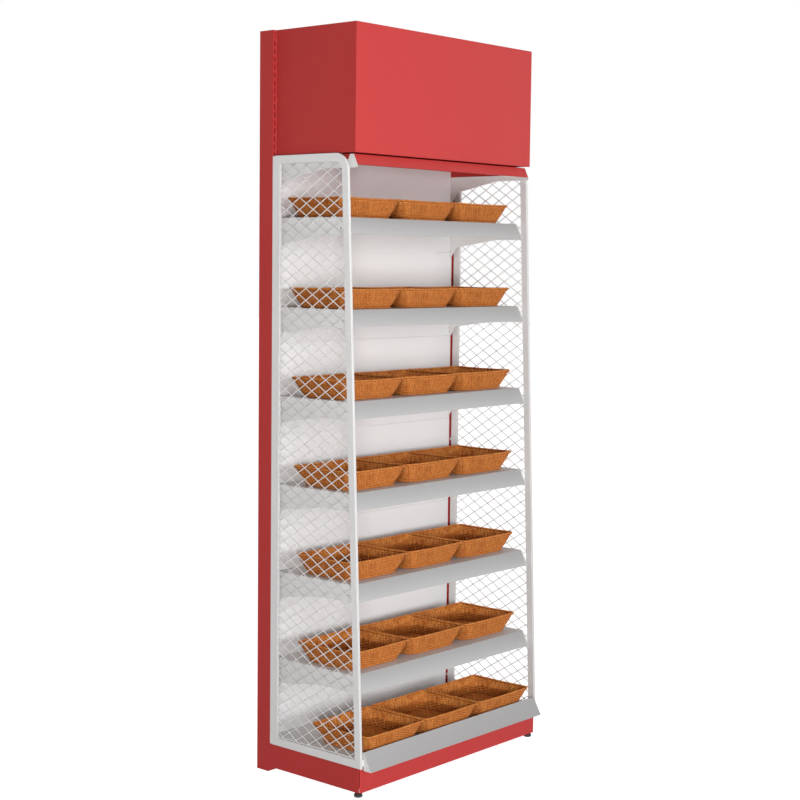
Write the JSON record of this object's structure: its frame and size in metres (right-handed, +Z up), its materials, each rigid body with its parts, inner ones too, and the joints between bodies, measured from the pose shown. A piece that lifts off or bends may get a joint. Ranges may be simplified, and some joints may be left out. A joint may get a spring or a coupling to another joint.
{
  "type": "bakery bread rack",
  "caption": "Tall red shop rack for bread: slotted posts, header box, canopy, grey shelves and base, wire side panels, wicker baskets to pull or lift out.",
  "frame": {"origin": "middle of the rack's footprint on the floor, halfway between its rear faces and the front lip of its base shelf", "axes": "+Z up; +X to the right when facing the shelves; the open front faces -Y"},
  "size_m": [0.92, 0.495, 2.4],
  "materials": {
    "red_enamel": "semi-gloss powder coat",
    "grey_enamel": "satin powder coat",
    "white_enamel": "satin powder coat",
    "zinc_steel": "zinc plated",
    "black_plastic": "moulded, matte",
    "red_plastic": "moulded, satin",
    "wicker": "woven, varnished"
  },
  "bodies": {
    "rack": {"upright_left": "red_enamel", "upright_right": "red_enamel", "upright_caps": "red_plastic", "base_leg_left": "red_enamel", "base_leg_right": "red_enamel", "plinth": "red_enamel", "base_shelf": "grey_enamel", "shelf_1": "grey_enamel", "shelf_1_brackets": "grey_enamel", "shelf_2": "grey_enamel", "shelf_2_brackets": "grey_enamel", "shelf_3": "grey_enamel", "shelf_3_brackets": "grey_enamel", "shelf_4": "grey_enamel", "shelf_4_brackets": "grey_enamel", "shelf_5": "grey_enamel", "shelf_5_brackets": "grey_enamel", "shelf_6": "grey_enamel", "shelf_6_brackets": "grey_enamel", "canopy_shelf": "red_enamel", "canopy_brackets": "grey_enamel", "header_front": "red_enamel", "header_side_left": "red_enamel", "header_side_right": "red_enamel", "side_frame_left": "grey_enamel", "side_mesh_left": "grey_enamel", "side_frame_right": "grey_enamel", "side_mesh_right": "grey_enamel", "back_panels": "white_enamel", "back_panel_low": "white_enamel", "back_panel_top": "white_enamel", "cross_rails": "grey_enamel"},
    "stem_left": {"leveller_stem_left": "zinc_steel"},
    "foot_left": {"leveller_foot_left": "black_plastic"},
    "stem_right": {"leveller_stem_right": "zinc_steel"},
    "foot_right": {"leveller_foot_right": "black_plastic"},
    "basket_1_left": {"basket_1_left": "wicker"},
    "basket_1_middle": {"basket_1_middle": "wicker"},
    "basket_1_right": {"basket_1_right": "wicker"},
    "basket_2_left": {"basket_2_left": "wicker"},
    "basket_2_middle": {"basket_2_middle": "wicker"},
    "basket_2_right": {"basket_2_right": "wicker"},
    "basket_3_left": {"basket_3_left": "wicker"},
    "basket_3_middle": {"basket_3_middle": "wicker"},
    "basket_3_right": {"basket_3_right": "wicker"},
    "basket_4_left": {"basket_4_left": "wicker"},
    "basket_4_middle": {"basket_4_middle": "wicker"},
    "basket_4_right": {"basket_4_right": "wicker"},
    "basket_5_left": {"basket_5_left": "wicker"},
    "basket_5_middle": {"basket_5_middle": "wicker"},
    "basket_5_right": {"basket_5_right": "wicker"},
    "basket_6_left": {"basket_6_left": "wicker"},
    "basket_6_middle": {"basket_6_middle": "wicker"},
    "basket_6_right": {"basket_6_right": "wicker"},
    "basket_7_left": {"basket_7_left": "wicker"},
    "basket_7_middle": {"basket_7_middle": "wicker"},
    "basket_7_right": {"basket_7_right": "wicker"}
  },
  "joints": [
    {"name": "leveller_left_height", "type": "slide", "parent": "rack", "child": "stem_left", "axis": [0, 0, -1], "range_m": [0, 0.012]},
    {"name": "foot_left_turn", "type": "hinge", "parent": "stem_left", "child": "foot_left", "pos_m": [-0.445, -0.1925, 0], "axis": [0, 0, 1], "continuous": true},
    {"name": "leveller_right_height", "type": "slide", "parent": "rack", "child": "stem_right", "axis": [0, 0, -1], "range_m": [0, 0.012]},
    {"name": "foot_right_turn", "type": "hinge", "parent": "stem_right", "child": "foot_right", "pos_m": [0.445, -0.1925, 0], "axis": [0, 0, 1], "continuous": true},
    {"name": "basket_1_left_slide", "type": "slide", "parent": "rack", "child": "basket_1_left", "axis": [0, -1, 0], "range_m": [0, 0.11]},
    {"name": "basket_1_middle_slide", "type": "slide", "parent": "rack", "child": "basket_1_middle", "axis": [0, -1, 0], "range_m": [0, 0.11]},
    {"name": "basket_1_right_slide", "type": "slide", "parent": "rack", "child": "basket_1_right", "axis": [0, -1, 0], "range_m": [0, 0.11]},
    {"name": "basket_2_left_slide", "type": "slide", "parent": "rack", "child": "basket_2_left", "axis": [0, -1, 0], "range_m": [0, 0.11]},
    {"name": "basket_2_middle_slide", "type": "slide", "parent": "rack", "child": "basket_2_middle", "axis": [0, -1, 0], "range_m": [0, 0.11]},
    {"name": "basket_2_right_slide", "type": "slide", "parent": "rack", "child": "basket_2_right", "axis": [0, -1, 0], "range_m": [0, 0.11]},
    {"name": "basket_3_left_slide", "type": "slide", "parent": "rack", "child": "basket_3_left", "axis": [0, -1, 0], "range_m": [0, 0.11]},
    {"name": "basket_3_middle_slide", "type": "slide", "parent": "rack", "child": "basket_3_middle", "axis": [0, -1, 0], "range_m": [0, 0.11]},
    {"name": "basket_3_right_slide", "type": "slide", "parent": "rack", "child": "basket_3_right", "axis": [0, -1, 0], "range_m": [0, 0.11]},
    {"name": "basket_4_left_slide", "type": "slide", "parent": "rack", "child": "basket_4_left", "axis": [0, -1, 0], "range_m": [0, 0.11]},
    {"name": "basket_4_middle_slide", "type": "slide", "parent": "rack", "child": "basket_4_middle", "axis": [0, -1, 0], "range_m": [0, 0.11]},
    {"name": "basket_4_right_slide", "type": "slide", "parent": "rack", "child": "basket_4_right", "axis": [0, -1, 0], "range_m": [0, 0.11]},
    {"name": "basket_5_left_slide", "type": "slide", "parent": "rack", "child": "basket_5_left", "axis": [0, -1, 0], "range_m": [0, 0.11]},
    {"name": "basket_5_middle_slide", "type": "slide", "parent": "rack", "child": "basket_5_middle", "axis": [0, -1, 0], "range_m": [0, 0.11]},
    {"name": "basket_5_right_slide", "type": "slide", "parent": "rack", "child": "basket_5_right", "axis": [0, -1, 0], "range_m": [0, 0.11]},
    {"name": "basket_6_left_slide", "type": "slide", "parent": "rack", "child": "basket_6_left", "axis": [0, -1, 0], "range_m": [0, 0.11]},
    {"name": "basket_6_middle_slide", "type": "slide", "parent": "rack", "child": "basket_6_middle", "axis": [0, -1, 0], "range_m": [0, 0.11]},
    {"name": "basket_6_right_slide", "type": "slide", "parent": "rack", "child": "basket_6_right", "axis": [0, -1, 0], "range_m": [0, 0.11]},
    {"name": "basket_7_left_lift", "type": "slide", "parent": "rack", "child": "basket_7_left", "axis": [0, 0, 1], "range_m": [0, 0.1]},
    {"name": "basket_7_middle_lift", "type": "slide", "parent": "rack", "child": "basket_7_middle", "axis": [0, 0, 1], "range_m": [0, 0.1]},
    {"name": "basket_7_right_lift", "type": "slide", "parent": "rack", "child": "basket_7_right", "axis": [0, 0, 1], "range_m": [0, 0.1]}
  ]
}
